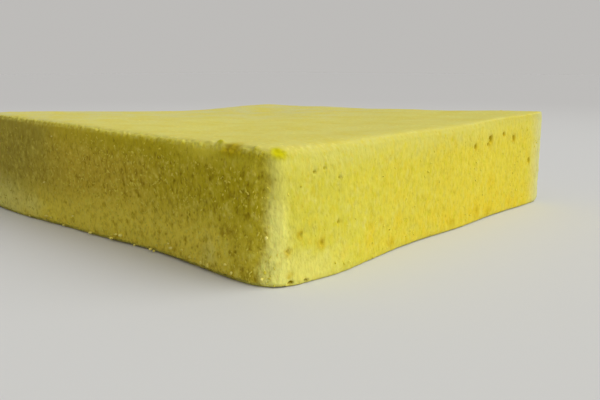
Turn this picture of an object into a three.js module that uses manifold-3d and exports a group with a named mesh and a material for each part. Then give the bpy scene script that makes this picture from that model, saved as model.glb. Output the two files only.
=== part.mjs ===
// A square chiffon cake, uncut and undecorated: one soft block of sponge. Millimetres, +Z up.
// The origin is the middle of the flat base. The front wall faces -Y and the right wall faces +X.

import * as THREE from 'three';
import { mergeVertices } from 'three/addons/utils/BufferGeometryUtils.js';
import Module from 'manifold-3d';

// Driving sizes
const side = 203; // across the walls half-way up, as an 8 inch square tin bakes it
const height = 45.4; // base to top, before the corners rise and the middle sinks
// The four upright corners, in plan: the near one is worn soft, the one at the back right is crisp
const cornerRadius = { frontRight: 6, frontLeft: 5, backRight: 2.8, backLeft: 5 };
// The top edge of each wall, at its -X or -Y end and at its other end: sharp where the crust was cut
const topEdgeRadius = { front: [4, 4.2], right: [5.8, 1.2], back: [4, 1.2], left: [3, 4] };
const baseEdgeRadius = 2;
const cornerBlend = 12; // over which one wall's edge radius turns into the next one's
const flare = 0.4; // how much further out the walls stand at the base than at the top

// How the top settled: each corner's rise over the height, and the sunken middle
const cornerRise = { frontRight: 0.9, frontLeft: 2.9, backRight: 2.7, backLeft: -0.9 };
const sag = 2.3;
const leftEdgeDip = { depth: -1.8, at: 18, width: 42 }; // a low stretch half-way along the left edge
const frontEdgeRise = { depth: 1.1, at: -35, width: 60 };
const ripple = { depth: 0.3, lengthX: 61, lengthY: 83 };

// Each wall waves gently along its length, and near the base it swells out (+) or draws in (-) in places
const wallWave = { depth: 0.5, length: 71 };
const walls = {
  front: {
    phase: 1,
    swells: [
      { depth: -2.9, at: 24, width: 40 },
      { depth: 0.8, at: 86, width: 16 },
    ],
  },
  right: { phase: 0, swells: [{ depth: 3.6, at: -74, width: 20 }] },
  back: {
    phase: 4,
    swells: [
      { depth: 1.1, at: -38, width: 28 },
      { depth: -1, at: 98, width: 20 },
    ],
  },
  left: { phase: 2, swells: [{ depth: 2.6, at: 44, width: 26 }] },
};

// The underside before its own weight pressed it flat: `below` is what is pressed away
const underside = { unevenness: 0.4, length: 57, below: 0.9 };

// Grid cells of the block that is shaped into the cake, and how far their lines crowd to its edges
const cellsAcross = 32;
const cellsUp = 9;
const crowding = 0.62;

const halfSide = side / 2;
const wave = (position, length, phase = 0) => Math.sin((2 * Math.PI * position) / length + phase);
const hump = (position, { depth, at, width }) => depth * Math.exp(-(((position - at) / width) ** 2));

// Moves an evenly spaced grid line, from -1 to 1, towards the nearer edge.
function crowded(line) {
  return (1 - crowding) * line + crowding * Math.sin((line * Math.PI) / 2);
}

// Rounds the corner between two directions: `a` and `b` are distances from the middle, up to
// `limitA` and `limitB`, and what lies outside both straight stretches goes onto a quarter circle.
function roundCorner(a, b, limitA, limitB, radius) {
  const straightA = Math.min(a, limitA - radius);
  const straightB = Math.min(b, limitB - radius);
  const reach = Math.hypot(a - straightA, b - straightB);
  if (reach === 0) return [a, b];
  const longest = Math.max(a - straightA, b - straightB);
  const pull = longest / reach;
  return [straightA + (a - straightA) * pull, straightB + (b - straightB) * pull];
}

function topRadiusAt(x, y) {
  const { lerp } = THREE.MathUtils;
  const sideways = lerp(...(x > 0 ? topEdgeRadius.right : topEdgeRadius.left), 0.5 + y / side);
  const lengthways = lerp(...(y > 0 ? topEdgeRadius.back : topEdgeRadius.front), 0.5 + x / side);
  const share = THREE.MathUtils.smoothstep(Math.abs(x) - Math.abs(y), -cornerBlend, cornerBlend);
  return lerp(lengthways, sideways, share);
}

// The upper and lower edges, all round: shrinks the square ring that the point lies on.
function roundEdge(point) {
  const ring = Math.max(Math.abs(point.x), Math.abs(point.y));
  const radius = point.z > 0 ? topRadiusAt(point.x, point.y) : baseEdgeRadius;
  const [newRing, newLevel] = roundCorner(ring, Math.abs(point.z), halfSide, height / 2, radius);
  const shrink = ring > 0 ? newRing / ring : 1;
  point.set(point.x * shrink, point.y * shrink, Math.sign(point.z) * newLevel);
}

// The upright corners: each square ring becomes a square with rounded corners.
function roundPlan(point) {
  const ring = Math.max(Math.abs(point.x), Math.abs(point.y));
  const corner = `${point.y > 0 ? 'back' : 'front'}${point.x > 0 ? 'Right' : 'Left'}`;
  const radius = (cornerRadius[corner] * ring) / halfSide;
  const [x, y] = roundCorner(Math.abs(point.x), Math.abs(point.y), ring, ring, radius);
  point.x = Math.sign(point.x) * x;
  point.y = Math.sign(point.y) * y;
}

// Height of the settled top over the point (x, y) of the plan
function topHeight(x, y) {
  const right = 0.5 + x / side;
  const back = 0.5 + y / side;
  const rise =
    cornerRise.frontRight * right * (1 - back) +
    cornerRise.frontLeft * (1 - right) * (1 - back) +
    cornerRise.backRight * right * back +
    cornerRise.backLeft * (1 - right) * back;
  const sunk = sag * (1 - ((x / halfSide) ** 2 + (y / halfSide) ** 2) / 2);
  const edges = hump(y, leftEdgeDip) * (1 - right) + hump(x, frontEdgeRise) * (1 - back) ** 2;
  const rippled = ripple.depth * wave(x, ripple.lengthX) * wave(y, ripple.lengthY, 1);
  return height + rise - sunk + edges + rippled;
}

// How far out a wall stands at `along` its length and `low` its height, 1 at the base and 0 at the top
function wallOffset({ phase, swells }, along, low) {
  const swell = swells.reduce((sum, place) => sum + hump(along, place), 0);
  return flare * (low - 0.5) + low * swell + wallWave.depth * wave(along, wallWave.length, phase);
}

// Leans and swells the walls. The middle of the top and of the base hardly moves.
function bendWalls(point) {
  const low = 0.5 - point.z / height;
  const { x, y } = point;
  const nearness = (distance) => Math.sign(distance) * (Math.abs(distance) / halfSide) ** 6;
  point.x += nearness(x) * wallOffset(x > 0 ? walls.right : walls.left, y, low);
  point.y += nearness(y) * wallOffset(y > 0 ? walls.back : walls.front, x, low);
}

// Puts the uneven underside just below z = 0, and the top at its settled height.
function settle(point) {
  const level = 0.5 + point.z / height;
  const uneven = underside.unevenness * wave(point.x, underside.length) * wave(point.y, underside.length);
  point.z = (1 - level) * (uneven - underside.below) + level * topHeight(point.x, point.y);
}

function closedGrid(geometry) {
  geometry.deleteAttribute('normal');
  geometry.deleteAttribute('uv');
  return mergeVertices(geometry);
}

function spongeBlock() {
  const geometry = closedGrid(new THREE.BoxGeometry(2, 2, 2, cellsAcross, cellsAcross, cellsUp));
  const positions = geometry.attributes.position;
  const point = new THREE.Vector3();
  for (let i = 0; i < positions.count; i++) {
    point.fromBufferAttribute(positions, i);
    point.set(
      crowded(point.x) * halfSide,
      crowded(point.y) * halfSide,
      (crowded(point.z) * height) / 2,
    );
    roundEdge(point);
    roundPlan(point);
    bendWalls(point);
    settle(point);
    positions.setXYZ(i, point.x, point.y, point.z);
  }
  return geometry;
}

const wasm = await Module();
wasm.setup();

const solidOf = (geometry) =>
  new wasm.Manifold(
    new wasm.Mesh({
      numProp: 3,
      vertProperties: new Float32Array(geometry.attributes.position.array),
      triVerts: new Uint32Array(geometry.index.array),
    }),
  );

function geometryOf(solid) {
  const mesh = solid.getMesh();
  const geometry = new THREE.BufferGeometry();
  geometry.setAttribute('position', new THREE.BufferAttribute(mesh.vertProperties, 3));
  geometry.setIndex(new THREE.BufferAttribute(mesh.triVerts, 1));
  geometry.computeVertexNormals();
  return geometry;
}

// The block with its underside cut flat, where the cake rests
function cakeGeometry() {
  const slab = closedGrid(new THREE.BoxGeometry(2 * side, 2 * side, height));
  slab.translate(0, 0, -height / 2);
  const geometry = geometryOf(solidOf(spongeBlock()).subtract(solidOf(slab)));
  geometry.computeBoundingBox();
  const { min, max } = geometry.boundingBox;
  return geometry.translate(-(min.x + max.x) / 2, -(min.y + max.y) / 2, 0);
}

const sponge = new THREE.MeshStandardMaterial({ color: 0xdccf6a, roughness: 0.9, metalness: 0 });

const cake = new THREE.Mesh(cakeGeometry(), sponge);
cake.name = 'cake';

const chiffonCake = new THREE.Group();
chiffonCake.add(cake);

export default chiffonCake;
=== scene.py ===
import math

import bpy
import numpy as np
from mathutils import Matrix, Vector


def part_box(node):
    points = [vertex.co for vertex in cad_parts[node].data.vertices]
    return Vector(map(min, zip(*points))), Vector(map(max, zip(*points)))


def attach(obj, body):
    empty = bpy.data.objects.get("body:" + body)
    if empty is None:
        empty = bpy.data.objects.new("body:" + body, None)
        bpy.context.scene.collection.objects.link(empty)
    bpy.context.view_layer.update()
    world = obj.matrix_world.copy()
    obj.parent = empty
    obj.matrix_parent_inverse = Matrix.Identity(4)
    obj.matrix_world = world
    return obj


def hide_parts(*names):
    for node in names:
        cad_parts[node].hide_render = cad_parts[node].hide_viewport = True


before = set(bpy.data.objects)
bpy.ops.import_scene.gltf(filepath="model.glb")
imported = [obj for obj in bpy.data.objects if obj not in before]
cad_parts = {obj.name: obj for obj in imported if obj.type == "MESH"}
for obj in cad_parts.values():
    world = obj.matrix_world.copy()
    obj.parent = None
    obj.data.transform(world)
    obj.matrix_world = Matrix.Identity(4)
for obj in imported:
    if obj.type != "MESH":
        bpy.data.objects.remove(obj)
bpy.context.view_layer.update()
mm = 0.001


def clearSelection():
    if bpy.context.mode != "OBJECT":
        bpy.ops.object.mode_set(mode="OBJECT")
    bpy.ops.object.select_all(action="DESELECT")


def bakeModifier(piece, kind, name, **options):
    # adds one modifier and applies it at once
    modifier = piece.modifiers.new(name, kind)
    for option, value in options.items():
        setattr(modifier, option, value)
    bpy.ops.object.modifier_apply(modifier=name)


def triangleCount(piece):
    return sum(len(face.vertices) - 2 for face in piece.data.polygons)


def readAll(items, name):
    # one whole number of each face or face corner
    values = np.empty(len(items), dtype=np.int32)
    items.foreach_get(name, values)
    return values


def addNode(tree, kind, feeds=None, **options):
    # feeds says what goes into each input: another node's output, or a plain value
    node = tree.nodes.new(kind)
    for option, value in options.items():
        setattr(node, option, value)
    for name, value in (feeds or {}).items():
        if isinstance(value, bpy.types.NodeSocket):
            tree.links.new(value, node.inputs[name])
        else:
            node.inputs[name].default_value = value
    return node


def calc(tree, operation, a, b=0.0):
    return addNode(tree, "ShaderNodeMath", {0: a, 1: b}, operation=operation).outputs[0]


def times(tree, *parts):
    total = parts[0]
    for part in parts[1:]:
        total = calc(tree, "MULTIPLY", total, part)
    return total


def addUp(tree, *parts):
    total = parts[0]
    for part in parts[1:]:
        total = calc(tree, "ADD", total, part)
    return total


def vectorCalc(tree, operation, a, b):
    return addNode(tree, "ShaderNodeVectorMath", {0: a, 1: b}, operation=operation).outputs[0]


def lengthOf(tree, arrow):
    return addNode(tree, "ShaderNodeVectorMath", {0: arrow}, operation="LENGTH").outputs["Value"]


def split(tree, place):
    return list(addNode(tree, "ShaderNodeSeparateXYZ", {0: place}).outputs)


def combine(tree, x, y, z):
    return addNode(tree, "ShaderNodeCombineXYZ", {0: x, 1: y, 2: z}).outputs[0]


def fade(tree, value, start, end, low=0.0, high=1.0, easing="SMOOTHSTEP"):
    # goes from low at start to high at end, and stays there
    feeds = {0: value, 1: start, 2: end, 3: low, 4: high}
    return addNode(tree, "ShaderNodeMapRange", feeds, interpolation_type=easing).outputs[0]


def raggedFade(tree, value, wobble, wander, start, end, low=0.0, high=1.0):
    # a fade whose line wanders to and fro
    return fade(tree, addUp(tree, value, times(tree, wobble, wander)), start, end, low, high)


def cloudy(tree, place, size, tall=1.0, detail=2.0, rough=0.5):
    # noise from about -1 to 1, whose features are as wide as size and tall times as high
    place = vectorCalc(tree, "MULTIPLY", place, (1, 1, 1 / tall))
    feeds = {"Vector": place, "Scale": 1 / size, "Detail": detail, "Roughness": rough}
    cloud = addNode(tree, "ShaderNodeTexNoise", feeds).outputs[0]
    return calc(tree, "MULTIPLY", calc(tree, "SUBTRACT", cloud, 0.5), 4.0)


def cells(tree, place, size, tall=1.0):
    place = vectorCalc(tree, "MULTIPLY", place, (1, 1, 1 / tall))
    return addNode(tree, "ShaderNodeTexVoronoi", {"Vector": place, "Scale": 1 / size}).outputs


# the cake: one block of sponge with a thin smooth skin on top
sponge = {
    "cuts": 31,  # first faces across each side, less one
    "edgeLines": (1.0 * mm, 2.6 * mm),  # further lines this far from each side keep the edges crisp
    "voxel": 0.52 * mm,
    "quickVoxel": 1.0 * mm,
    "triangles": 196000,
    # heights of the four top corners above the base
    "cornerHeights": {"frontRight": 46.3 * mm, "frontLeft": 48.3 * mm,
                      "backRight": 48.1 * mm, "backLeft": 44.5 * mm},
    # how upright the surface's normal is, from 0 on a wall to 1 on the top: where the crumb starts and
    # is full, in shape and in colour, and where the teeth along the edge do
    "crumbTilt": (0.99, 0.8), "colourTilt": (0.98, 0.2), "toothTilt": (0.998, 0.93),
    # crumb on the walls: feature size, height over width, depth
    "uneven": (9 * mm, 1.0, 0.20 * mm),
    "lumps": (2.6 * mm, 1.3, 0.17 * mm),
    "grain": (1.15 * mm, 1.7, 0.20 * mm),
    # a net of small cells, and open bubbles here and there: where a pit starts and is deepest, which
    # share of the cells has one, and how deep it is on the side walls and on the rougher front wall
    "cells": {
        "size": 1.8 * mm, "tall": 1.4, "edge": (0.55, 0.12), "chosen": (0, 0.8), "onWalls": (0.35, 0.85),
    },
    "bubbles": {
        "size": 4.4 * mm, "tall": 1.3, "edge": (0.24, 0.06), "chosen": (0.72, 0.95), "onWalls": (0.2, 0.8),
    },
    "cellDepth": 0.34 * mm, "bubbleDepth": 0.8 * mm,
    "wavesOnWalls": (0.5, 1), "teethOnWalls": (0.6, 1), "footOnWalls": (0.12, 1),
    # the top edge, where crumb stands up in small teeth: noise with its detail and roughness, depth, rise
    "teeth": (2.0 * mm, 2.2, 3, 0.6), "toothDepth": 0.28 * mm,
    "toothRise": 0.4 * mm, "risingTeeth": (0.0, 1.2), "rimReach": (5.5 * mm, 1.5 * mm),
    # the foot, drawn in here and there, and less so at the near corner
    "footSize": 5 * mm, "footDepth": 2.0 * mm, "footReach": (1.5 * mm, 0.4 * mm),
    "footNoise": (-0.7, 0.9, 0.25, 1), "footAlong": (98 * mm, 90 * mm, 0.15, 1),
    # the front wall turns gently into the near corner, most of all at its foot
    "wearDepth": 3.2 * mm, "wearAcross": (90 * mm, 108 * mm), "wearInwards": (-87 * mm, -101 * mm),
    "wearUp": (40 * mm, 8 * mm, 0.7, 1.2),
    "skin": (8 * mm, 1.0, 3), "skinDepth": 0.07 * mm,
    "restingHeight": (0.02 * mm, 0.5 * mm),  # the base stays flat, and the relief is full above this
    # larger pores: x, y, z, width, height, depth in mm
    "pores": [
        # on the right wall, towards its far end
        (101.2, 27.6, 35.2, 2.6, 2.8, 1.3), (100.6, 43, 37.5, 3.6, 3.8, 1.6),
        (100.7, 40.6, 35.2, 2.2, 2, 0.9), (100.4, 56.6, 38.8, 2.2, 2.2, 1.1),
        (100.8, 67.1, 36.1, 2.6, 3.4, 1.3), (101.5, 84.8, 23.6, 2.2, 3.2, 1.2),
        # on the right wall near the corner
        (101.1, -82.4, 36.5, 1.5, 1.7, 1), (101.3, -77.5, 37.3, 1.2, 1.9, 0.8),
        (101.9, -70.2, 33.4, 1.7, 1.5, 0.7), (103.1, -72, 18.2, 1.3, 2, 1),
        (101.8, -90.3, 16.7, 1.5, 1.8, 0.7), (103, -80.9, 12.5, 2, 2.4, 0.6),
        (101.5, -97.8, 12.1, 1.7, 2.0, 1.2),
        # on the front wall
        (-5.1, -101.2, 22.1, 1.7, 1.5, 1.2), (49.9, -100.7, 30.3, 1.5, 1.4, 1),
        (77.6, -102.2, 34.6, 1.1, 1.5, 0.9), (94.3, -102.2, 12.8, 1.1, 1.2, 0.9),
        (17.4, -101.6, 44.1, 0.8, 0.8, 0.8),
    ],
    # gaps under the foot near the front corner
    "gaps": [(101.8, -96.6, 1.2, 3.4, 1.8, 2.4), (102.6, -88.6, 0.9, 2.4, 1.2, 2.2)],
    # the torn place in the front edge, and the dimple that the bit of yolk sits in
    "tears": [
        (78.5, -100.8, 44.8, 3, 3.6, 0.8), (82.8, -100.8, 44.4, 5, 3, 0.5), (98.4, -97.2, 44, 4.8, 3.6, 0.3),
    ],
    # crumb that stands up along the front edge: x, y, z, width, height, rise in mm
    "tufts": [
        (74.7, -99.6, 46.0, 4.0, 6, 1.3), (69, -100, 46.3, 4, 4, 0.5), (91.5, -99.6, 45.4, 3.4, 4, 0.5),
    ],
    # a painted shadow line under parts of the front wall's foot
    "footShadowPatches": (8 * mm, 4), "footShadowNoise": (0.0, 0.5, 0, 1.8),
    "footShadowReach": (1.5 * mm, 0.75 * mm), "footShadowAlong": (97 * mm, 90 * mm),
    # how hollow a small cell counts for the colour, and how deep a hole is that counts as 1
    "cellHollow": 0.25, "holeDepth": 1.2 * mm,
}


def nearness(tree, place, spot, inner=0.35, outer=1.15):
    # 1 in the middle of an egg-shaped spot and 0 outside it; x, y, z, width and height in mm
    x, y, z, width, height = spot
    away = vectorCalc(tree, "SUBTRACT", place, (x * mm, y * mm, z * mm))
    away = vectorCalc(tree, "MULTIPLY", away, (2 / width / mm, 2 / width / mm, 2 / height / mm))
    return fade(tree, lengthOf(tree, away), outer, inner)


def depthInSpots(tree, place, spots):
    # how deep or high the listed spots are at each point
    total = 0.0
    for *spot, depth in spots:
        total = addUp(tree, total, times(tree, nearness(tree, place, spot), depth * mm))
    return total


def aheadOfCorner(tree, place, start=-1.5, end=3.0):
    # 1 on the front wall, fading to 0 as it turns into the side walls; start and end in mm
    x, y = split(tree, place)[:2]
    ahead = calc(tree, "SUBTRACT", calc(tree, "MULTIPLY", y, -1.0), calc(tree, "ABSOLUTE", x))
    return fade(tree, ahead, start * mm, end * mm)


def depthBelowRim(tree, place):
    # how far a point lies below the top's height there, from the four corner heights
    x, y, z = split(tree, place)
    low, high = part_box("cake")
    right = fade(tree, x, low.x, high.x, easing="LINEAR")
    back = fade(tree, y, low.y, high.y, easing="LINEAR")
    corners = sponge["cornerHeights"]
    edges = []
    for side in ("Left", "Right"):
        feeds = {0: back, 2: corners["front" + side], 3: corners["back" + side]}
        edges.append(addNode(tree, "ShaderNodeMix", feeds).outputs[0])
    top = addNode(tree, "ShaderNodeMix", {0: right, 2: edges[0], 3: edges[1]}).outputs[0]
    return calc(tree, "SUBTRACT", top, z)


def pitted(tree, place, front, kind):
    cell = cells(tree, place, kind["size"], kind["tall"])
    chosen = fade(tree, split(tree, cell["Color"])[0], *kind["chosen"])
    pit = times(tree, fade(tree, cell["Distance"], *kind["edge"]), chosen)
    return times(tree, pit, fade(tree, front, 0, 1, *kind["onWalls"]))


def drawnInFoot(tree, place, front):
    x, _, height = split(tree, place)
    foot = times(tree, fade(tree, height, *sponge["footReach"]), fade(tree, x, *sponge["footAlong"]))
    here = fade(tree, cloudy(tree, place, sponge["footSize"]), *sponge["footNoise"])
    return times(tree, foot, here, fade(tree, front, 0, 1, *sponge["footOnWalls"]))


# a painted shadow line along the front wall's foot
def paintedFootShadow(tree, place, front):
    x, _, height = split(tree, place)
    gap = fade(tree, cloudy(tree, place, *sponge["footShadowPatches"]), *sponge["footShadowNoise"])
    return times(tree, gap, fade(tree, height, *sponge["footShadowReach"]), front,
                 fade(tree, x, *sponge["footShadowAlong"]))


def wornCorner(tree, place):
    x, y, height = split(tree, place)
    return times(tree, fade(tree, x, *sponge["wearAcross"]), fade(tree, y, *sponge["wearInwards"]),
                 fade(tree, height, *sponge["wearUp"]), sponge["wearDepth"])


def geometryTree(name):
    # a tree that takes in one geometry and gives one out; also returns the one that comes in
    tree = bpy.data.node_groups.new(name, "GeometryNodeTree")
    for way in ("INPUT", "OUTPUT"):
        tree.interface.new_socket("Geometry", in_out=way, socket_type="NodeSocketGeometry")
    return tree, addNode(tree, "NodeGroupInput").outputs[0]


def crumbRelief():
    tree, block = geometryTree("crumbRelief")
    place = addNode(tree, "GeometryNodeInputPosition").outputs[0]
    normal = addNode(tree, "GeometryNodeInputNormal").outputs[0]
    upright = calc(tree, "ABSOLUTE", split(tree, normal)[2])
    wall = fade(tree, upright, *sponge["crumbTilt"])
    rim = fade(tree, depthBelowRim(tree, place), *sponge["rimReach"])
    front = aheadOfCorner(tree, place)

    waves = []
    for name in ("uneven", "lumps", "grain"):
        size, tall, depth = sponge[name]
        waves.append(times(tree, cloudy(tree, place, size, tall), depth))
    rough = times(tree, addUp(tree, *waves), fade(tree, front, 0, 1, *sponge["wavesOnWalls"]))
    tooth = cloudy(tree, place, *sponge["teeth"])
    ragged = times(tree, rim, tooth, sponge["toothDepth"], fade(tree, front, 0, 1, *sponge["teethOnWalls"]))
    pit = pitted(tree, place, front, sponge["cells"])
    opened = pitted(tree, place, front, sponge["bubbles"])
    hole = depthInSpots(tree, place, sponge["pores"] + sponge["gaps"] + sponge["tears"])
    crumb = addUp(tree, rough, ragged, times(tree, pit, -sponge["cellDepth"]),
                  times(tree, opened, -sponge["bubbleDepth"]),
                  times(tree, drawnInFoot(tree, place, front), -sponge["footDepth"]),
                  times(tree, hole, -1.0))
    skin = times(tree, cloudy(tree, place, *sponge["skin"]), sponge["skinDepth"])
    relief = addUp(tree, times(tree, crumb, wall), skin)
    outward = addNode(tree, "ShaderNodeVectorMath", {0: normal, 3: relief}, operation="SCALE").outputs[0]
    resting = fade(tree, split(tree, place)[2], *sponge["restingHeight"])
    outward = vectorCalc(tree, "MULTIPLY", outward, combine(tree, 1.0, 1.0, resting))
    # teeth and tufts of crumb stand up along the edge
    edge = times(tree, fade(tree, upright, *sponge["toothTilt"]), rim)
    rise = addUp(tree, times(tree, fade(tree, tooth, *sponge["risingTeeth"]), sponge["toothRise"]),
                 depthInSpots(tree, place, sponge["tufts"]))
    further = combine(tree, 0.0, wornCorner(tree, place), times(tree, rise, edge))
    shift = vectorCalc(tree, "ADD", outward, further)

    # kept for the material: where the crumb is open, how deep each point lies in a hole, and where the
    # painted shadow runs along the front foot
    hollow = addUp(tree, times(tree, pit, sponge["cellHollow"]), opened,
                   calc(tree, "DIVIDE", hole, sponge["holeDepth"]), paintedFootShadow(tree, place, front))
    wallShare = fade(tree, upright, *sponge["colourTilt"])
    for name, value in (("wall", wallShare), ("hollow", times(tree, hollow, wall))):
        feeds = {"Geometry": block, "Name": name, "Value": value}
        block = addNode(tree, "GeometryNodeStoreNamedAttribute", feeds).outputs[0]
    moved = addNode(tree, "GeometryNodeSetPosition", {"Geometry": block, "Offset": shift}).outputs[0]
    addNode(tree, "NodeGroupOutput", {0: moved})
    return tree


def layFlat(piece):
    # a map for the surface: the top in the middle, the four walls round it, the underside in a corner
    gap = 4 * mm
    topReach = 2 * mm  # rounded edges down to here belong to the top
    low, high = (np.array(corner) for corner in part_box("cake"))
    mesh = piece.data
    points = np.empty(len(mesh.vertices) * 3)
    mesh.vertices.foreach_get("co", points)
    points = points.reshape(-1, 3)
    corners = readAll(mesh.loops, "vertex_index")
    starts = readAll(mesh.polygons, "loop_start")
    sizes = readAll(mesh.polygons, "loop_total")
    middles = np.add.reduceat(points[corners], starts) / sizes[:, None]
    # how deep each face lies under the left, front, underside, right, back and top planes
    depths = np.concatenate([middles - low, high - middles], axis=1)
    depths[:, -1] -= topReach
    side = np.repeat(depths.argmin(axis=1), sizes)
    x, y, z = (points[corners] - low).T
    width, length, height = high - low
    inner = height + gap
    total = max(width, length) + 2 * inner
    small = height / max(width, length)  # the underside's scale
    layouts = [
        (height - z, inner + y), (inner + x, height - z), (x * small, y * small),
        (inner + width + gap + z, inner + y), (inner + x, inner + length + gap + z), (inner + x, inner + y),
    ]
    flat = np.zeros((len(corners), 2))
    for number, (across, up) in enumerate(layouts):
        chosen = side == number
        flat[chosen, 0] = across[chosen] / total
        flat[chosen, 1] = up[chosen] / total
    layer = mesh.uv_layers.new(name="OFBake")
    layer.data.foreach_set("uv", flat.ravel())


def makeSponge():
    low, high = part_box("cake")
    clearSelection()
    bpy.ops.mesh.primitive_cube_add(size=1, location=(low + high) / 2, scale=high - low)
    block = bpy.context.object
    block.name = "cake_sponge"
    bpy.ops.object.transform_apply(location=True, rotation=False, scale=True)
    bpy.ops.object.mode_set(mode="EDIT")
    bpy.ops.mesh.select_all(action="SELECT")
    bpy.ops.mesh.subdivide(number_cuts=sponge["cuts"])
    for way in (Vector((1, 0, 0)), Vector((0, 1, 0)), Vector((0, 0, 1))):
        for inset in sponge["edgeLines"]:
            for corner, inward in ((low, way), (high, -way)):
                bpy.ops.mesh.select_all(action="SELECT")
                bpy.ops.mesh.bisect(plane_co=corner + inward * inset, plane_no=way)
    bpy.ops.object.mode_set(mode="OBJECT")
    bakeModifier(block, "SHRINKWRAP", "settle", target=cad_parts["cake"])
    bakeModifier(block, "SUBSURF", "soften", levels=1, render_levels=1)
    voxel = sponge["voxel"]
    bakeModifier(block, "REMESH", "fineFaces", mode="VOXEL", voxel_size=voxel, use_smooth_shade=True)
    bakeModifier(block, "NODES", "crumb", node_group=crumbRelief())
    if triangleCount(block) > sponge["triangles"]:
        bakeModifier(block, "DECIMATE", "lighten", ratio=sponge["triangles"] / triangleCount(block))
    bpy.ops.object.shade_smooth()
    print("sponge modelled:", triangleCount(block), "triangles")
    return block


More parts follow.
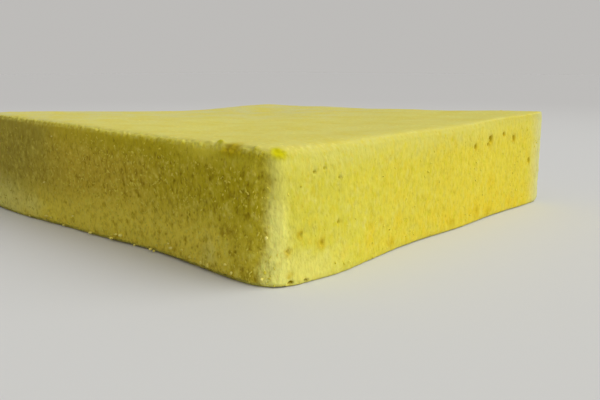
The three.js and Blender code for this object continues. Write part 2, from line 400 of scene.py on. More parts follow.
# the sponge's finish, in linear colours
crumbLook = {
    # the lit walls, from lemon to golden, with orange spots and a pale band under the rim
    "lemon": (0.675, 0.615, 0.066, 1),
    "lemonDeep": (0.65, 0.58, 0.018, 1),
    "golden": (0.75, 0.625, 0.053, 1),
    "orange": (0.76, 0.56, 0.014, 1),
    "ochre": (0.60, 0.43, 0.004, 1),
    "pale": (0.69, 0.645, 0.16, 1),
    # painted light on the near corner's lit side, palest low down, and paler corners
    "cornerPaintedLight": (1.0, 0.95, 0.25, 1),
    "cornerSoft": (0.70, 0.655, 0.115, 1),
    "lowCornerPaintedLight": (0.82, 0.77, 0.19, 1),
    "farPale": (0.65, 0.63, 0.30, 1),
    # the front wall, painted as a shaded copy of the crumb: brownish in the middle, olive near the corner and
    # under the rim, greyer at the far end
    "brownish": (0.67, 0.51, 0.042, 1),
    "olive": (0.60, 0.50, 0.012, 1),
    "greyish": (0.42, 0.345, 0.04, 1),
    # painted light: the front wall's foot, as if lit from the floor
    "footPaintedLight": (0.95, 0.80, 0.085, 1),
    "footGrey": (0.90, 0.83, 0.20, 1),
    # painted light: the brighter band under the front rim
    "underRimPaintedLight": (0.89, 0.775, 0.065, 1),
    # painted shade under the front rim beside the standing tooth
    "rimPaintedShade": (0.50, 0.42, 0.004, 1),
    # painted light where the top's skin turns over the front rim
    "rimSkinPaintedLight": (0.80, 0.745, 0.14, 1),
    # grain, and painted shade in holes, in gaps and under the side walls' rim
    "cellWall": (0.91, 0.81, 0.14, 1),
    "grainAndShadeTint": (0.58, 0.51, 0.18, 1),
    "holeShade": (0.38, 0.28, 0.003, 1),
    "holeShadeLit": (0.50, 0.38, 0.003, 1),
    "gapShade": (0.05, 0.045, 0.002, 1),
    "edgeShade": (0.1, 0.08, 0.01, 1),
    # the skin on top, the torn place, the painted shade on its standing tooth, and the bit of yolk
    "skin": (0.69, 0.64, 0.17, 1),
    "skinRich": (0.67, 0.59, 0.11, 1),
    "skinFar": (0.63, 0.60, 0.25, 1),
    "skinLight": (0.82, 0.74, 0.16, 1),
    "torn": (0.52, 0.40, 0.001, 1),
    "toothPaintedShade": (0.60, 0.55, 0.02, 1),
    "yolk": (0.62, 0.57, 0.0, 1),
    "yolkDark": (0.48, 0.43, 0.0, 1),

    # broad and small noise: size, and then height over width, detail and roughness where they are given
    "drift": (26 * mm,), "wobble": (5 * mm, 1, 3),
    "grain": (0.8 * mm, 2.2, 2, 0.6), "mottle": (2.3 * mm, 1.4),
    "patches": (4 * mm, 1.2, 3), "spots": (2.8 * mm, 1.2, 3, 0.6), "streaks": (1.7 * mm, 1.9),
    "skinPatches": (16 * mm, 1, 4, 0.65), "skinPores": (1.6 * mm, 1, 2, 0.6),
    "teeth": (1.9 * mm, 3, 3, 0.6),
    "spotsOffset": (0, 0, 0.3),  # takes the spots from another part of the noise

    # Each range says where a colour starts and where it is full, and its share at either end where that
    # isn't 0 and 1. A range whose name ends in Line first says how far the line wanders.
    # the front wall, from its middle to the near corner, and down from the rim or up from the base
    "frontTurn": (-0.8, 7.0),  # in mm, round the corners
    "frontJitter": (3 * mm, 3 * mm), "frontDrift": 14 * mm,
    "oliveAlong": (5 * mm, 75 * mm),
    "upperLine": (2 * mm, 15 * mm, 5 * mm), "upperAlong": (-60 * mm, 20 * mm, 0.2, 0.8),
    "underRimLine": (1 * mm, 10 * mm, 3 * mm), "underRimAlong": (40 * mm, 75 * mm),
    "duskyLine": (1.5 * mm, 10 * mm, 3 * mm), "duskyAlong": (66 * mm, 80 * mm, 0, 0.8),
    "greyAlong": (-15 * mm, -70 * mm, 0, 0.9),
    "footWander": 3 * mm, "footDrop": (-30 * mm, 30 * mm, 0, -4.5 * mm),
    "footUp": (23 * mm, 4 * mm), "footAlong": (72 * mm, 86 * mm, 1, 0.45),
    "footGreyAlong": (-45 * mm, -80 * mm),
    # the other walls, from the front to the back
    "litDrift": 22 * mm, "goldenAlong": (-95 * mm, 10 * mm),
    "richNoise": (-0.4, 0.9), "richUp": (26 * mm, 4 * mm), "richAlong": (-90 * mm, 40 * mm),
    "bandWander": (3 * mm, 2 * mm), "bandDown": (15 * mm, 3 * mm),
    "bandAlong": (0, 70 * mm, 0.65, 0.45), "bandNear": (-97 * mm, -80 * mm, 0.4, 1),
    "patchNoise": (0.1, 0.9), "patchAlong": (30 * mm, -80 * mm), "patchNear": (-98 * mm, -82 * mm, 0.5, 1),
    "spotNoise": (0.1, 1.0), "streakPale": (0, 1, 0, 0.3), "streakOrange": (0, -1, 0, 0.35),
    # where the side walls turn into the upright corners, the far end, and the near corner
    "offFront": (0.5, 0.1),
    "cornerLine": (1.2 * mm, 194 * mm, 198 * mm), "farLine": (2 * mm, 82 * mm, 99 * mm, 0, 0.85),
    "lowUpLine": (4 * mm, 16 * mm, 6 * mm), "lowAlongLine": (5 * mm, -60 * mm, -88 * mm),
    "lowOffFront": (0.3, 0), "lowWiden": (12 * mm, 3 * mm, 0, 3 * mm),
    "glowAcrossLine": (1 * mm, 94 * mm, 98 * mm), "glowAlongLine": (1.5 * mm, -93 * mm, -99 * mm),
    "glowUpLine": (3 * mm, 34 * mm, 20 * mm, 0.2, 1),
    # how strong the grain is on the walls, from the far left to the right, and down from the rim
    "grainOnWalls": (0.3, 1), "grainAlong": (-90 * mm, 60 * mm, 0.65, 1.0),
    "grainDown": (2 * mm, 12 * mm, 0.3, 1),
    # small pinholes in the grain, weaker at the foot
    "pinholes": (1.25 * mm, 1.3), "pinholeJitter": (1.6 * mm, 1.2 * mm),
    "pinholeEdge": (0.6, 0.05), "pinholeChosen": (0.2, 1), "pinholeUp": (3 * mm, 14 * mm, 0.5, 0.75),
    "grainDark": (0.0, -1.0, 0, 0.35), "mottleDark": (0.1, -1.1, 0, 0.8), "wobbleDark": (0, -1.1, 0, 0.35),
    "grainLight": (0.2, 1.1, 0, 0.4), "mottleLight": (0.2, 1.2, 0, 0.7), "wobbleLight": (0, 1.1, 0, 0.3),
    "holeShadeHollow": (0.1, 0.9), "gapHollow": (1.35, 1.7),
    # the skin, greyer towards the far left corner of the top
    "skinBack": (-60 * mm, 100 * mm), "skinTurn": 50 * mm, "skinAcross": (-15 * mm, 80 * mm),
    "skinRichNoise": (-0.6, 0.8), "poreGolden": (0.0, 1.3, 0, 0.9), "poreLight": (0.0, -1.3, 0, 0.9),
    "rimSkinWall": (0.0, 0.2), "jaggedness": 2.8,
    "edgeDown": (6 * mm, 1 * mm), "edgeOffFront": (0.5, 0),
    # how much each colour covers at its fullest
    "paleShare": 0.7, "richShare": 0.75, "patchShare": 0.65, "spotShare": 0.8, "lowShare": 0.75,
    "ochreShare": 0.75, "edgeShare": 0.15, "tornShare": 0.9, "toothShare": 0.9,

    # places: x, y, z, width, height in mm; with each, the size of the noise that shifts its outline and
    # how far, and where it is full and where it ends, as parts of its radius
    "orangeSpots": [  # richer places low on the right wall
        (101, 45, 16, 10, 12), (101, 29, 7, 18, 12), (101, 43, 6, 16, 10), (101, 67, 5, 16, 8),
        (102, -53, 9, 10, 14), (102, -33, 11, 9, 9), (101, 3, 6, 14, 8), (101, -70, 7, 8, 7),
    ],
    "orangeJitter": (3.5 * mm, 8 * mm), "orangeEdge": (0.0, 1.3),
    "ochreSpots": [  # small ochre places, most of them round a pore
        (103, -81, 12.5, 6, 6.5), (101.6, -95.6, 11.7, 4.6, 5.2), (102, -90.6, 17, 3.6, 4),
        (101.9, -95.2, 4.2, 4, 3.6), (101.2, 27.6, 35, 5, 6), (100.6, 43, 36.5, 8, 8),
        (100.4, 57, 38.5, 5, 4), (100.8, 67, 35.6, 5.5, 6), (101.5, 85, 23.2, 4.5, 5), (102, -38, 4, 9, 6),
        (101, 31, 5, 7, 7), (101, 44, 3.5, 8, 6), (101.5, -60, 5, 6, 5), (101.5, -73, 12, 5, 5),
        (101.5, -52, 14, 5, 4), (101, 8, 4, 8, 5), (102, -45, 14, 4, 5),
    ],
    "ochreJitter": (2 * mm, 3 * mm), "ochreEdge": (0.1, 1.1),
    "paleSpots": [(-56, -102, 7, 22, 12), (69, -102, 7, 12, 12)],  # low on the front wall
    "paleJitter": (5 * mm, 10 * mm), "paleEdge": (0.1, 1.2),
    "tornSpots": [(81, -100.6, 44.2, 13, 7.5)],
    "tornJitter": (2 * mm, 3 * mm), "tornEdge": (0.2, 1.1),
    "toothSpots": [(74.9, -99.6, 46.4, 3.8, 6.5)],
    "toothJitter": (2 * mm, 1 * mm), "toothEdge": (0.2, 1.1),
    "yolkSpots": [(98.6, -96.6, 44.0, 8.2, 6.4)],
    "yolkJitter": (2.5 * mm, 1.6 * mm), "yolkEdge": (0.3, 1.05),
    "yolkNoiseSize": 2.2 * mm, "yolkNoise": (-0.5, 0.9),
    # along the front edge the crumb reaches up into the skin (+) or the skin down into the crumb (-)
    "rimTeeth": [
        (74.6, -99.3, 45.4, 3, 6.5, 1.5), (87, -100.9, 44.4, 6, 4, -0.25), (92, -99.3, 45.3, 3.2, 5, 0.9),
        (69, -100, 45.6, 2.2, 4.5, 0.4), (56, -100, 45.8, 5, 3, -0.4), (35, -100, 45.8, 4, 3, 0.4),
    ],
    "rimTeethEdge": (0.1, 1.2),

    "roughness": (-1, 1, 0.8, 0.95),
    "specular": 0.15,
    "subsurface": 0.25, "subsurfaceRadius": (1, 0.7, 0.25), "subsurfaceScale": 1.2 * mm,
    # bump: the weights of mottle and pinholes beside the grain, and its strength on top and on the walls
    "bumpMottle": 0.6, "bumpPinhole": -1.2, "bumpOnTop": (0.06, 1), "bumpOnWalls": (0.4, 1),
    "bumpDistance": 0.2 * mm, "bumpStrength": 0.8,
}


def mixColour(tree, share, a, b):
    feeds = {0: share, 6: a, 7: b}
    return addNode(tree, "ShaderNodeMix", feeds, data_type="RGBA").outputs[2]


def darken(tree, share, colour, tint):
    feeds = {0: share, 6: colour, 7: tint}
    return addNode(tree, "ShaderNodeMix", feeds, data_type="RGBA", blend_type="MULTIPLY").outputs[2]


def jitter(tree, place, size, reach):
    # shifts each point a little, so that a spot's outline comes out ragged
    noise = addNode(tree, "ShaderNodeTexNoise", {"Vector": place, "Scale": 1 / size}).outputs["Color"]
    shift = vectorCalc(tree, "SUBTRACT", noise, (0.5, 0.5, 0.5))
    return vectorCalc(tree, "ADD", place, vectorCalc(tree, "MULTIPLY", shift, (reach, reach, reach)))


def inSpots(tree, place, name, share=0.0):
    # raises the share to 1 inside the look's spots of that name, each with a ragged outline
    place = jitter(tree, place, *crumbLook[name + "Jitter"])
    for spot in crumbLook[name + "Spots"]:
        share = calc(tree, "MAXIMUM", share, nearness(tree, place, spot, *crumbLook[name + "Edge"]))
    return share


def readSurface(tree):
    # what the colours go by: the place, how far it lies from edges and corners, and noise
    look = crumbLook
    place = addNode(tree, "ShaderNodeTexCoord").outputs["Object"]
    x, y, z = split(tree, place)
    return {
        "place": place, "x": x, "y": y, "z": z,
        "wall": addNode(tree, "ShaderNodeAttribute", attribute_name="wall").outputs["Fac"],
        "hollow": addNode(tree, "ShaderNodeAttribute", attribute_name="hollow").outputs["Fac"],
        "belowRim": depthBelowRim(tree, place),
        "wobble": cloudy(tree, place, *look["wobble"]),
        "drift": cloudy(tree, place, *look["drift"]),
        "front": aheadOfCorner(tree, jitter(tree, place, *look["frontJitter"]), *look["frontTurn"]),
    }


def shadedFrontCrumb(tree, at):
    # the front wall's colours, painted as a shaded copy of the crumb: browner and more olive than the lit
    # walls
    look = crumbLook
    x, wobble, belowRim = at["x"], at["wobble"], at["belowRim"]
    along = addUp(tree, x, times(tree, at["drift"], look["frontDrift"]))
    colour = mixColour(tree, fade(tree, along, *look["oliveAlong"]), look["brownish"], look["olive"])
    upper = times(tree, raggedFade(tree, belowRim, wobble, *look["upperLine"]),
                  fade(tree, along, *look["upperAlong"]))
    colour = mixColour(tree, upper, colour, look["olive"])
    # painted light: a brighter band just under the rim, as light coming through the skin
    edge = times(tree, raggedFade(tree, belowRim, wobble, *look["underRimLine"]),
                 fade(tree, x, *look["underRimAlong"]))
    colour = mixColour(tree, edge, colour, look["underRimPaintedLight"])
    # painted shade under the rim beside the standing tooth
    rimShadeShare = times(tree, raggedFade(tree, belowRim, wobble, *look["duskyLine"]),
                  fade(tree, x, *look["duskyAlong"]))
    colour = mixColour(tree, rimShadeShare, colour, look["rimPaintedShade"])
    colour = mixColour(tree, fade(tree, along, *look["greyAlong"]), colour, look["greyish"])
    # the foot is painted paler, standing in for light thrown up from the floor; greyer at the far end and
    # less so near the corner
    level = addUp(tree, at["z"], times(tree, wobble, look["footWander"]), fade(tree, x, *look["footDrop"]))
    low = times(tree, fade(tree, level, *look["footUp"]), fade(tree, x, *look["footAlong"]))
    grey = fade(tree, along, *look["footGreyAlong"])
    colour = mixColour(tree, low, colour, mixColour(tree, grey, look["footPaintedLight"], look["footGrey"]))
    patch = inSpots(tree, at["place"], "pale")
    return mixColour(tree, times(tree, patch, look["paleShare"]), colour, look["footGrey"])


def litCrumb(tree, at):
    # the other walls: lemon at the front, golden further back, richer low down, paler under the rim
    look = crumbLook
    place, y, wobble = at["place"], at["y"], at["wobble"]
    along = addUp(tree, y, times(tree, at["drift"], look["litDrift"]))
    colour = mixColour(tree, fade(tree, along, *look["goldenAlong"]), look["lemon"], look["golden"])
    rich = times(tree, fade(tree, wobble, *look["richNoise"]), fade(tree, at["z"], *look["richUp"]),
                 fade(tree, y, *look["richAlong"]))
    rich = inSpots(tree, place, "orange", rich)
    colour = mixColour(tree, times(tree, rich, look["richShare"]), colour, look["orange"])
    byWobble, byDrift = look["bandWander"]
    below = addUp(tree, at["belowRim"], times(tree, wobble, byWobble), times(tree, at["drift"], byDrift))
    band = times(tree, fade(tree, below, *look["bandDown"]), fade(tree, along, *look["bandAlong"]),
                 fade(tree, y, *look["bandNear"]))
    colour = mixColour(tree, band, colour, look["pale"])
    patches = times(tree, fade(tree, cloudy(tree, place, *look["patches"]), *look["patchNoise"]),
                    fade(tree, y, *look["patchAlong"]), fade(tree, y, *look["patchNear"]))
    colour = mixColour(tree, times(tree, patches, look["patchShare"]), colour, look["pale"])
    spots = cloudy(tree, vectorCalc(tree, "ADD", place, look["spotsOffset"]), *look["spots"])
    spots = fade(tree, spots, *look["spotNoise"])
    colour = mixColour(tree, times(tree, spots, look["spotShare"]), colour, look["lemonDeep"])
    streaks = cloudy(tree, place, *look["streaks"])
    colour = mixColour(tree, fade(tree, streaks, *look["streakPale"]), colour, look["pale"])
    return mixColour(tree, fade(tree, streaks, *look["streakOrange"]), colour, look["orange"])


def paleCornersAndPaintedLight(tree, at, crumb):
    look = crumbLook
    x, y, z, wobble, front = (at[name] for name in ("x", "y", "z", "wobble", "front"))
    # the side walls are paler where they turn into the upright corners; kept off the front wall, so at the
    # near corner it lies only on the lit side, partly as a painted highlight
    outer = addUp(tree, calc(tree, "ABSOLUTE", x), calc(tree, "ABSOLUTE", y))
    corner = times(tree, raggedFade(tree, outer, wobble, *look["cornerLine"]),
                   fade(tree, front, *look["offFront"]))
    crumb = mixColour(tree, corner, crumb, look["cornerSoft"])
    crumb = mixColour(tree, raggedFade(tree, y, wobble, *look["farLine"]), crumb, look["farPale"])
    # painted light on the near corner's lit side, brightest low down, also where it turns into the front wall
    lowCornerLightShare = times(tree, raggedFade(tree, z, wobble, *look["lowUpLine"]),
                   raggedFade(tree, y, wobble, *look["lowAlongLine"]),
                   fade(tree, front, *look["lowOffFront"]))
    crumb = mixColour(tree, times(tree, lowCornerLightShare, look["lowShare"]), crumb, look["lowCornerPaintedLight"])
    across = addUp(tree, x, fade(tree, z, *look["lowWiden"]))
    glow = times(tree, raggedFade(tree, across, wobble, *look["glowAcrossLine"]),
                 raggedFade(tree, y, wobble, *look["glowAlongLine"]),
                 raggedFade(tree, z, wobble, *look["glowUpLine"]))
    return mixColour(tree, glow, crumb, look["cornerPaintedLight"])


def makeGrain(tree, at):
    # three sizes of grain for colour and bump: fine noise, coarser noise and pinholes
    look = crumbLook
    net = cells(tree, jitter(tree, at["place"], *look["pinholeJitter"]), *look["pinholes"])
    at["grain"] = cloudy(tree, at["place"], *look["grain"])
    at["mottle"] = cloudy(tree, at["place"], *look["mottle"])
    at["pinhole"] = times(tree, fade(tree, net["Distance"], *look["pinholeEdge"]),
                          fade(tree, split(tree, net["Color"])[0], *look["pinholeChosen"]))


def grainyCrumb(tree, at, crumb):
    # paler cell walls between small darker cells and pinholes, following the bump: partly real grain, partly
    # painted shade in its hollows and a painted highlight on its ridges, stronger on the shaded front wall;
    # and painted shade in the holes and gaps
    look = crumbLook
    strength = times(tree, fade(tree, at["front"], 0, 1, *look["grainOnWalls"]),
                     fade(tree, at["x"], *look["grainAlong"]), fade(tree, at["belowRim"], *look["grainDown"]))
    pinholes = times(tree, at["pinhole"], fade(tree, at["z"], *look["pinholeUp"]))
    grainAndShade = addUp(tree, fade(tree, at["grain"], *look["grainDark"]),
                 fade(tree, at["mottle"], *look["mottleDark"]), pinholes,
                 fade(tree, at["wobble"], *look["wobbleDark"]))
    light = addUp(tree, fade(tree, at["grain"], *look["grainLight"]),
                  fade(tree, at["mottle"], *look["mottleLight"]),
                  fade(tree, at["wobble"], *look["wobbleLight"]))
    crumb = darken(tree, times(tree, grainAndShade, strength), crumb, look["grainAndShadeTint"])
    crumb = mixColour(tree, times(tree, light, strength), crumb, look["cellWall"])
    # painted shade in the holes, paler on the lit walls than on the front one, and painted shadow in the gaps
    holeShade = mixColour(tree, at["front"], look["holeShadeLit"], look["holeShade"])
    crumb = mixColour(tree, fade(tree, at["hollow"], *look["holeShadeHollow"]), crumb, holeShade)
    return mixColour(tree, fade(tree, at["hollow"], *look["gapHollow"]), crumb, look["gapShade"])


def topSkin(tree, at):
    # broad soft patches and fine pores
    look = crumbLook
    patch = cloudy(tree, at["place"], *look["skinPatches"])
    pores = cloudy(tree, at["place"], *look["skinPores"])
    turned = times(tree, fade(tree, at["y"], *look["skinBack"]), look["skinTurn"])
    away = calc(tree, "SUBTRACT", turned, at["x"])
    skin = mixColour(tree, fade(tree, away, *look["skinAcross"]), look["skin"], look["skinFar"])
    skin = mixColour(tree, fade(tree, patch, *look["skinRichNoise"]), skin, look["skinRich"])
    skin = mixColour(tree, fade(tree, pores, *look["poreGolden"]), skin, look["golden"])
    skin = mixColour(tree, fade(tree, pores, *look["poreLight"]), skin, look["skinLight"])
    # painted light: the skin is paler and brighter where it turns over the front rim
    paintedRimLight = times(tree, fade(tree, at["wall"], *look["rimSkinWall"]), at["front"])
    return mixColour(tree, paintedRimLight, skin, look["rimSkinPaintedLight"])


def joinAtRim(tree, at, skin, crumb):
    # the skin ends in soft teeth along the edges; the crumb is torn in places and stained by a bit of yolk,
    # and its standing tooth has painted shade
    look = crumbLook
    place, wall = at["place"], at["wall"]
    tooth = cloudy(tree, place, *look["teeth"])
    for *spot, reach in look["rimTeeth"]:
        tooth = addUp(tree, tooth, times(tree, nearness(tree, place, spot, *look["rimTeethEdge"]), reach))
    jagged = times(tree, tooth, wall, calc(tree, "SUBTRACT", 1.0, wall), look["jaggedness"])
    colour = mixColour(tree, addUp(tree, wall, jagged), skin, crumb)
    # painted shade: the side walls are a little darker just under the rim
    edge = times(tree, fade(tree, at["belowRim"], *look["edgeDown"]), wall,
                 fade(tree, at["front"], *look["edgeOffFront"]))
    colour = mixColour(tree, times(tree, edge, look["edgeShare"]), colour, look["edgeShade"])
    torn = times(tree, inSpots(tree, place, "torn"), look["tornShare"])
    colour = mixColour(tree, torn, colour, look["torn"])
    # painted shade on the front face of the tooth that stands up by the torn place
    toothShadeShare = times(tree, inSpots(tree, place, "tooth"), look["toothShare"])
    colour = mixColour(tree, toothShadeShare, colour, look["toothPaintedShade"])
    mottled = fade(tree, cloudy(tree, place, look["yolkNoiseSize"]), *look["yolkNoise"])
    bit = mixColour(tree, mottled, look["yolk"], look["yolkDark"])
    return mixColour(tree, inSpots(tree, place, "yolk"), colour, bit)


def newMaterial(name):
    material = bpy.data.materials.new(name)
    material.use_nodes = True
    return material, material.node_tree, material.node_tree.nodes["Principled BSDF"]


def spongeCrumb():
    look = crumbLook
    material, tree, shader = newMaterial("spongeCrumb")
    at = readSurface(tree)
    makeGrain(tree, at)
    crumb = mixColour(tree, at["front"], litCrumb(tree, at), shadedFrontCrumb(tree, at))
    crumb = paleCornersAndPaintedLight(tree, at, crumb)
    ochre = times(tree, inSpots(tree, at["place"], "ochre"), look["ochreShare"])
    crumb = mixColour(tree, ochre, crumb, look["ochre"])
    crumb = grainyCrumb(tree, at, crumb)
    colour = joinAtRim(tree, at, topSkin(tree, at), crumb)
    tree.links.new(colour, shader.inputs["Base Color"])

    tree.links.new(fade(tree, at["wobble"], *look["roughness"]), shader.inputs["Roughness"])
    shader.inputs["Specular IOR Level"].default_value = look["specular"]
    shader.inputs["Subsurface Weight"].default_value = look["subsurface"]
    shader.inputs["Subsurface Radius"].default_value = look["subsurfaceRadius"]
    shader.inputs["Subsurface Scale"].default_value = look["subsurfaceScale"]
    heights = addUp(tree, at["grain"], times(tree, at["mottle"], look["bumpMottle"]),
                    times(tree, at["pinhole"], look["bumpPinhole"]))
    heights = times(tree, heights, fade(tree, at["wall"], 0, 1, *look["bumpOnTop"]),
                    fade(tree, at["front"], 0, 1, *look["bumpOnWalls"]))
    feeds = {"Height": heights, "Distance": look["bumpDistance"], "Strength": look["bumpStrength"]}
    tree.links.new(addNode(tree, "ShaderNodeBump", feeds).outputs[0], shader.inputs["Normal"])
    return material


# loose crumb that clings to the walls, as chance lumps of two kinds and larger ones placed one by one
crumbKinds = {
    "clinging_crumbs": {
        "size": 0.8 * mm, "tall": 1,
        "tilt": 3.14,  # radians either way from upright
        "smallest": 0.3, "largest": 1.8,  # times the size
        "perArea": 38000, "footArea": 60000,  # on a square metre of wall and foot
        "elsewhere": 0.08,  # times as many on the other walls as on the front one
        "seed": 5,
    },
    "crumb_shreds": {
        "size": 0.45 * mm, "tall": 3.4, "tilt": 0.8,
        "smallest": 0.5, "largest": 1.5,
        "perArea": 150000, "footArea": 60000,
        "elsewhere": 0.05,
        "seed": 11,
    },
}
looseCrumb = {
    # where the chance crumbs lie: in clusters, more at the foot and fewer towards the far left, and none
    # on top, right under the rim, at the very base or in the holes
    "clusterSize": 9 * mm, "clusterNoise": (-0.9, 1.0, 0.2, 1.5),
    "rimDown": (3 * mm, 10 * mm), "footUp": (5 * mm, 2 * mm), "baseUp": (1.0 * mm, 1.5 * mm),
    "along": (-75 * mm, 10 * mm, 0.3, 1),
    "wall": (0.6, 0.9), "hollow": (0.5, 0.1),
    "turn": 3.14,  # radians either way round
    "bumpiness": 0.14,  # how far a lump's points are moved, as a part of its size
    # colours: the larger crumbs are painted paler, standing in for the light they catch in the shade, and all
    # are greyer towards the far left
    "light": (0.84, 0.75, 0.12, 1),
    "rich": (0.70, 0.60, 0.045, 1),
    "paintedLightCrumb": (1.0, 0.93, 0.30, 1),
    "paintedLightCrumbRich": (0.95, 0.84, 0.16, 1),
    "farTint": (0.75, 0.73, 0.8, 1), "farAlong": (0, -70 * mm),
    "noiseSize": 2.5 * mm, "noise": (-0.8, 0.8),
    "roughness": 0.85, "specular": 0.15,
}
# crumbs placed one by one on the front wall and its foot: x, y, z, width, height in mm
placedCrumbs = [
    (-35.7, -101.4, 40.4, 1.0, 1.0), (-44.3, -101.9, 19, 1.6, 1.0), (97.2, -101.2, 17.1, 1.3, 1.6),
    (-43.7, -102.4, 3.5, 2.6, 1.4), (-40.1, -102.2, 3.3, 1.6, 1.1), (-21.8, -101.6, 6.6, 1.3, 1.0),
    (-8.1, -101.6, 1.4, 2.2, 1.3), (7.0, -101.0, 1.5, 2.2, 1.4), (10.2, -100.8, 3.6, 1.6, 1.2),
    (13.4, -100.8, 3.7, 2.4, 1.7), (32.4, -99.9, 1.3, 2.0, 1.3), (34.8, -100.1, 1.0, 1.4, 1.0),
    (45.7, -100.3, 4.2, 1.9, 1.4), (44.2, -100.2, 5.6, 1.1, 0.9), (53.1, -100.8, 5.0, 1.4, 1.1),
    (58.1, -101.3, 3.4, 1.3, 1.2), (65.1, -102.0, 2.8, 1.2, 1.8), (69.4, -102.5, 2.7, 1.2, 2.0),
    (79.1, -103.0, 5.1, 1.5, 1.2), (82.3, -103.2, 2.8, 1.2, 1.6), (95.1, -101.6, 2.9, 1.5, 1.5),
    (-60, -102.4, 1.0, 1.4, 1.0), (22, -100.2, 1.0, 1.3, 0.9), (-30, -101.8, 1.2, 1.5, 1.0),
]


def crumbDensity(tree, kind):
    # how many crumbs a square metre gets, most of them on the front wall
    place = addNode(tree, "GeometryNodeInputPosition").outputs[0]
    x, _, height = split(tree, place)
    wall = addNode(tree, "GeometryNodeInputNamedAttribute", {"Name": "wall"}).outputs[0]
    hollow = addNode(tree, "GeometryNodeInputNamedAttribute", {"Name": "hollow"}).outputs[0]
    clustered = fade(tree, cloudy(tree, place, looseCrumb["clusterSize"]), *looseCrumb["clusterNoise"])
    onWall = times(tree, clustered, kind["perArea"],
                   fade(tree, depthBelowRim(tree, place), *looseCrumb["rimDown"]))
    onFoot = fade(tree, height, *looseCrumb["footUp"], 0, kind["footArea"])
    return times(tree, addUp(tree, onWall, onFoot), fade(tree, x, *looseCrumb["along"]),
                 fade(tree, wall, *looseCrumb["wall"]), fade(tree, hollow, *looseCrumb["hollow"]),
                 fade(tree, height, *looseCrumb["baseUp"]),
                 fade(tree, aheadOfCorner(tree, place), 0, 1, kind["elsewhere"], 1))


def randomVector(tree, low, high, seed):
    feeds = {0: low, 1: high, "Seed": seed}
    return addNode(tree, "FunctionNodeRandomValue", feeds, data_type="FLOAT_VECTOR").outputs[0]


def crumbScatter(kind, surface):
    tree, lump = geometryTree("crumbScatter")
    ground = addNode(tree, "GeometryNodeObjectInfo", {"Object": surface}).outputs["Geometry"]
    feeds = {"Mesh": ground, "Density": crumbDensity(tree, kind), "Seed": kind["seed"]}
    points = addNode(tree, "GeometryNodeDistributePointsOnFaces", feeds).outputs["Points"]
    tilt, turn = kind["tilt"], looseCrumb["turn"]
    low, high = kind["smallest"], kind["largest"]
    turned = randomVector(tree, (-tilt, -tilt, -turn), (tilt, tilt, turn), 1)
    scale = randomVector(tree, (low, low, low), (high, high, high), 2)
    feeds = {"Points": points, "Instance": lump, "Rotation": turned, "Scale": scale}
    placed = addNode(tree, "GeometryNodeInstanceOnPoints", feeds).outputs[0]
    real = addNode(tree, "GeometryNodeRealizeInstances", {0: placed}).outputs[0]
    addNode(tree, "NodeGroupOutput", {0: real})
    return tree


def addLump(width, height, seed, location=(0, 0, 0)):
    # one rough crumb, modelled at its size and place
    scale = (width, width, height)
    bpy.ops.mesh.primitive_ico_sphere_add(subdivisions=1, radius=0.5, location=location, scale=scale)
    bpy.ops.object.transform_apply(location=True, rotation=False, scale=True)
    bpy.ops.object.mode_set(mode="EDIT")
    bpy.ops.mesh.select_all(action="SELECT")
    bpy.ops.transform.vertex_random(offset=looseCrumb["bumpiness"] * min(width, height), seed=seed)
    bpy.ops.object.mode_set(mode="OBJECT")
    return bpy.context.object


def makeCrumbs(name, surface, colour):
    kind = crumbKinds[name]
    clearSelection()
    lump = addLump(kind["size"], kind["size"] * kind["tall"], kind["seed"])
    lump.name = name
    bakeModifier(lump, "NODES", "scatter", node_group=crumbScatter(kind, surface))
    bpy.ops.object.shade_smooth()
    finishCrumbs(lump, colour)


def placeCrumbs(colour):
    clearSelection()
    lumps = []
    for number, (x, y, z, width, height) in enumerate(placedCrumbs):
        lump = addLump(width * mm, height * mm, number, (x * mm, y * mm, z * mm))
        bakeModifier(lump, "SUBSURF", "soften", levels=1, render_levels=1)
        lumps.append(lump)
    for lump in lumps:
        lump.select_set(True)
    bpy.ops.object.join()
    joined = bpy.context.object
    joined.name = "larger_crumbs"
    bpy.ops.object.shade_smooth()
    finishCrumbs(joined, colour)


def finishCrumbs(piece, colour):
    piece.data.materials.clear()
    piece.data.materials.append(colour)
    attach(piece, "root")
    print(piece.name, "made:", triangleCount(piece), "triangles")


def crumbFleck(name, light, rich):
    material, tree, shader = newMaterial(name)
    place = addNode(tree, "ShaderNodeTexCoord").outputs["Object"]
    mottled = fade(tree, cloudy(tree, place, looseCrumb["noiseSize"]), *looseCrumb["noise"])
    colour = mixColour(tree, mottled, light, rich)
    farLeft = fade(tree, split(tree, place)[0], *looseCrumb["farAlong"])
    colour = darken(tree, farLeft, colour, looseCrumb["farTint"])
    tree.links.new(colour, shader.inputs["Base Color"])
    shader.inputs["Roughness"].default_value = looseCrumb["roughness"]
    shader.inputs["Specular IOR Level"].default_value = looseCrumb["specular"]
    return material


# floor, light and camera; places in metres and angles in degrees
studio = {
    "floorSize": 12.0,
    # paler round the cake, fading to the colour of the backdrop
    "floorColour": (0.68, 0.685, 0.71, 1), "floorFar": (0.593, 0.59, 0.615, 1), "floorFade": (0.25, 1.2),
    "floorRoughness": 0.9, "floorSpecular": 0.1,
    "backdropColour": (0.51, 0.50, 0.485, 1),
    "skyColour": (1.0, 0.95, 0.88, 1), "skyLow": 0.08, "skyHigh": 0.57,
    "sunAzimuth": 26, "sunElevation": 38, "sunSoftness": 70,
    "sunStrength": 2.36,
    "sunColour": (0.98, 1.0, 0.94),
    "cameraPlace": (0.2445, -0.2485, 0.0705), "cameraDown": 11.18, "cameraTurn": 42.08,
    "lens": 40.5, "sensorWidth": 36,
}


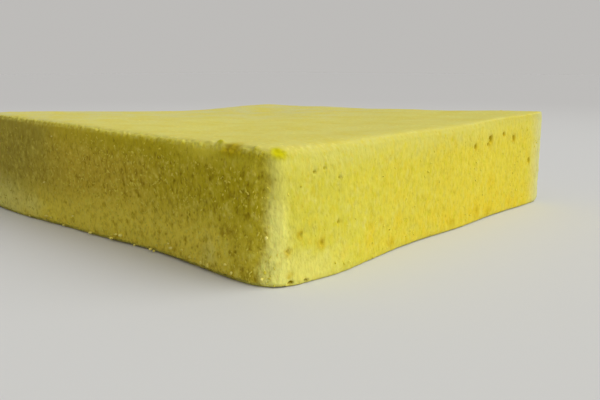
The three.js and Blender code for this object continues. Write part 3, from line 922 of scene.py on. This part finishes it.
def makeFloor():
    clearSelection()
    bpy.ops.mesh.primitive_plane_add(size=studio["floorSize"], location=(0, 0, 0))
    floor = bpy.context.object
    floor.name = "floor"
    material, tree, shader = newMaterial("paleFloor")
    place = addNode(tree, "ShaderNodeTexCoord").outputs["Object"]
    away = fade(tree, lengthOf(tree, place), *studio["floorFade"])
    colour = mixColour(tree, away, studio["floorColour"], studio["floorFar"])
    tree.links.new(colour, shader.inputs["Base Color"])
    shader.inputs["Roughness"].default_value = studio["floorRoughness"]
    shader.inputs["Specular IOR Level"].default_value = studio["floorSpecular"]
    floor.data.materials.append(material)


def makeSkyLight():
    # soft light from above, while the backdrop shows as an even pale grey
    world = bpy.data.worlds.new("skyLight")
    bpy.context.scene.world = world
    world.use_nodes = True
    tree = world.node_tree
    tree.nodes.clear()
    up = split(tree, addNode(tree, "ShaderNodeTexCoord").outputs["Generated"])[2]
    brightness = fade(tree, up, 0, 1, studio["skyLow"], studio["skyHigh"])
    light = addNode(tree, "ShaderNodeBackground", {0: studio["skyColour"], 1: brightness}).outputs[0]
    shown = addNode(tree, "ShaderNodeBackground", {0: studio["backdropColour"]}).outputs[0]
    seen = addNode(tree, "ShaderNodeLightPath").outputs["Is Camera Ray"]
    both = addNode(tree, "ShaderNodeMixShader", {0: seen, 1: light, 2: shown}).outputs[0]
    addNode(tree, "ShaderNodeOutputWorld", {0: both})


def makeWindowLight():
    around = math.radians(studio["sunAzimuth"])
    up = math.radians(studio["sunElevation"])
    way = Vector((math.cos(around) * math.cos(up), math.sin(around) * math.cos(up), math.sin(up)))
    bpy.ops.object.light_add(type="SUN", location=way)
    lamp = bpy.context.object
    lamp.name = "windowLight"
    lamp.rotation_euler = way.to_track_quat("Z", "Y").to_euler()
    lamp.data.energy = studio["sunStrength"]
    lamp.data.angle = math.radians(studio["sunSoftness"])
    lamp.data.color = studio["sunColour"]


def makeCamera():
    bpy.ops.object.camera_add(location=studio["cameraPlace"])
    camera = bpy.context.object
    up = math.radians(90 - studio["cameraDown"])
    camera.rotation_euler = (up, 0, math.radians(studio["cameraTurn"]))
    camera.data.lens = studio["lens"]
    camera.data.sensor_width = studio["sensorWidth"]
    bpy.context.scene.camera = camera


clearSelection()
makeCamera()
makeFloor()
makeSkyLight()
makeWindowLight()
bpy.context.scene.view_settings.view_transform = "Standard"
print("camera, floor and light set")

cake = makeSponge()
layFlat(cake)
cake.data.materials.clear()
cake.data.materials.append(spongeCrumb())
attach(cake, "root")
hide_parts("cake")
print("sponge coloured")

fleck = crumbFleck("crumbFleck", looseCrumb["light"], looseCrumb["rich"])
for name in crumbKinds:
    makeCrumbs(name, cake, fleck)
placeCrumbs(crumbFleck("paintedLightFleck", looseCrumb["paintedLightCrumb"], looseCrumb["paintedLightCrumbRich"]))
